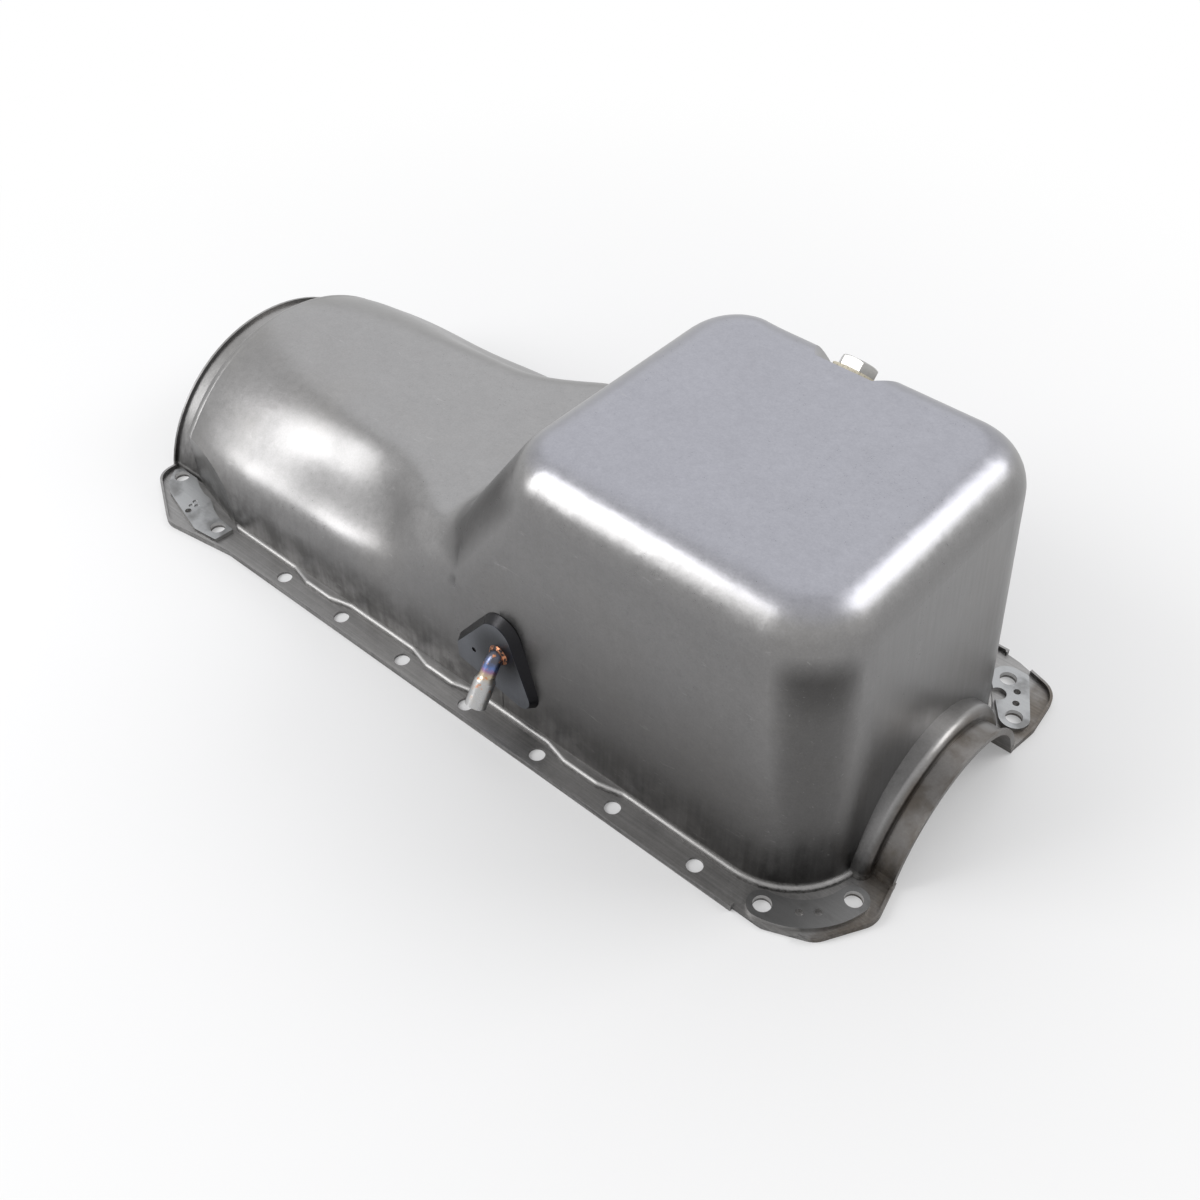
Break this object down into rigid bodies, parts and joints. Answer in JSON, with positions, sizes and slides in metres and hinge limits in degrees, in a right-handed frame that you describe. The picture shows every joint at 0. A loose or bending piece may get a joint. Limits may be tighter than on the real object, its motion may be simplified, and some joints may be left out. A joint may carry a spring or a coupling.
{
  "type": "engine oil pan",
  "caption": "Deep-drawn steel engine oil pan with a shallow front trough, deep rear sump, half-round seal ends, sloping drain plug and side dipstick tube.",
  "frame": {"origin": "midway between the middle pair of rail bolt holes, on the gasket plane", "axes": "+X from the shallow front arch to the deep rear sump, +Z out of the engine into the pan's depth, so the pan rests upside down on its rails"},
  "size_m": [0.5355, 0.2553, 0.1754],
  "materials": {
    "drawn_steel": "bare oiled sheet, satin with drawing marks",
    "plate_steel": "bare stamped plate, satin",
    "plug_steel": "zinc plated",
    "gasket_fibre": "fibre washer",
    "tube_steel": "bare tube, heat tinted near the root",
    "copper_braze": "copper braze"
  },
  "bodies": {
    "pan": {"pan_shell": "drawn_steel", "corner_plate_front_near": "plate_steel", "corner_plate_front_far": "plate_steel", "corner_plate_rear_near": "plate_steel", "corner_plate_rear_far": "plate_steel", "drain_nut": "plug_steel", "dipstick_tube": "tube_steel", "dipstick_braze": "copper_braze"},
    "washer": {"drain_gasket": "gasket_fibre"},
    "plug": {"drain_plug": "plug_steel"}
  },
  "joints": [
    {"name": "plug_back_off", "type": "slide", "parent": "pan", "child": "washer", "axis": [0, 0.7071, 0.7071], "range_m": [0, 0.01016]},
    {"name": "plug_turn", "type": "hinge", "parent": "washer", "child": "plug", "pos_m": [0.1, 0.08273, 0.16314], "axis": [0, 0.7071, 0.7071], "range_deg": [0, 2880]}
  ],
  "couplings": [
    {"joint": "plug_back_off", "follows": "plug_turn", "m_per_rad": 0.00020213}
  ]
}
